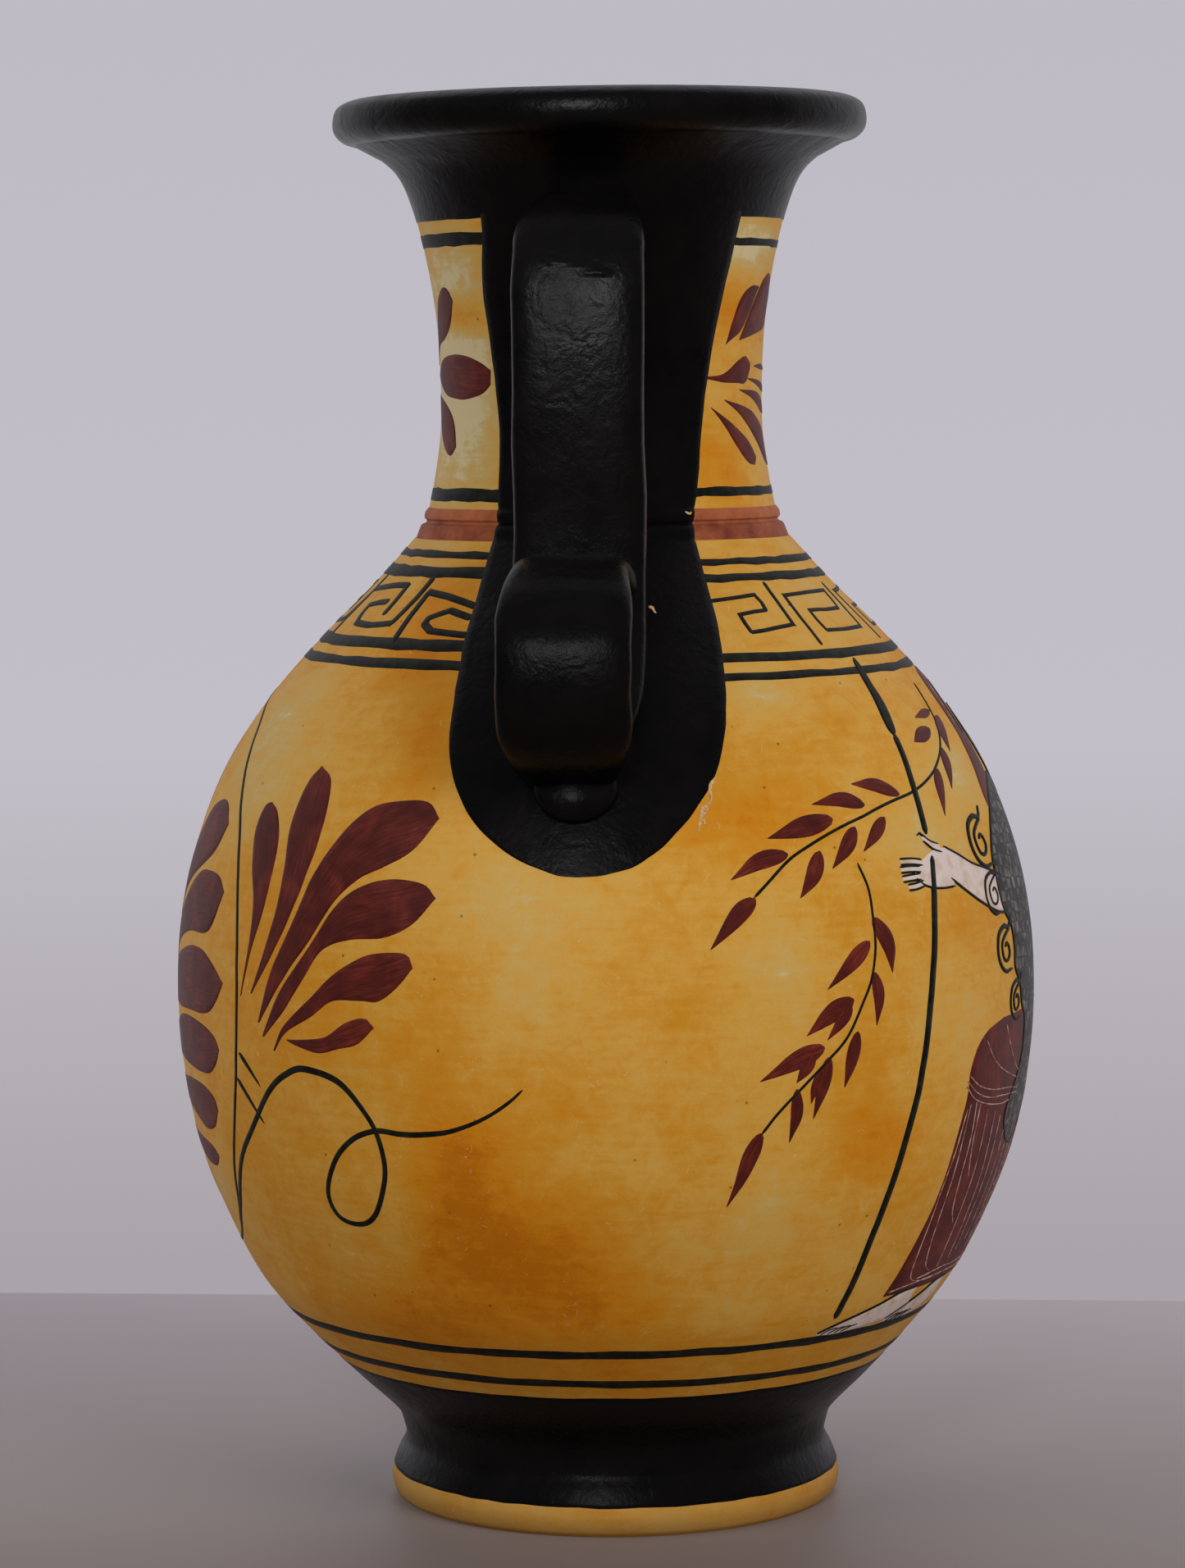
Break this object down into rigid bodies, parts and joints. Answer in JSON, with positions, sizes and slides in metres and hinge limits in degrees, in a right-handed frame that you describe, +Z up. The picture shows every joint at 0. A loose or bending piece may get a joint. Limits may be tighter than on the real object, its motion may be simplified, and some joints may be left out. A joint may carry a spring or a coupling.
{
  "type": "two-handled amphora",
  "caption": "Round-bellied ceramic amphora with a flaring neck, rolled lip, grooved collar, ring foot and two strap handles that end in an outward loop.",
  "frame": {"origin": "centre of the foot's resting plane, on the vessel's axis", "axes": "+Z up along the vessel's axis, +X out of the painted front, handles on -Y and +Y"},
  "size_m": [0.172, 0.1878, 0.28],
  "materials": {
    "ochre_ground": "matt painted clay, mottled straw to burnt ochre",
    "black_glaze": "satin black brushed paint",
    "red_paint": "matt dark red brushed paint",
    "line_paint": "matt greenish black brush lines",
    "white_paint": "matt off-white paint",
    "grey_paint": "matt grey-green paint"
  },
  "bodies": {
    "root": {"foot": "black_glaze", "belly": "ochre_ground", "collar": "red_paint", "neck": "ochre_ground", "lip": "black_glaze", "left_strap": "black_glaze", "left_scroll": "black_glaze", "left_root": "black_glaze", "right_strap": "black_glaze", "right_scroll": "black_glaze", "right_root": "black_glaze"}
  },
  "joints": []
}
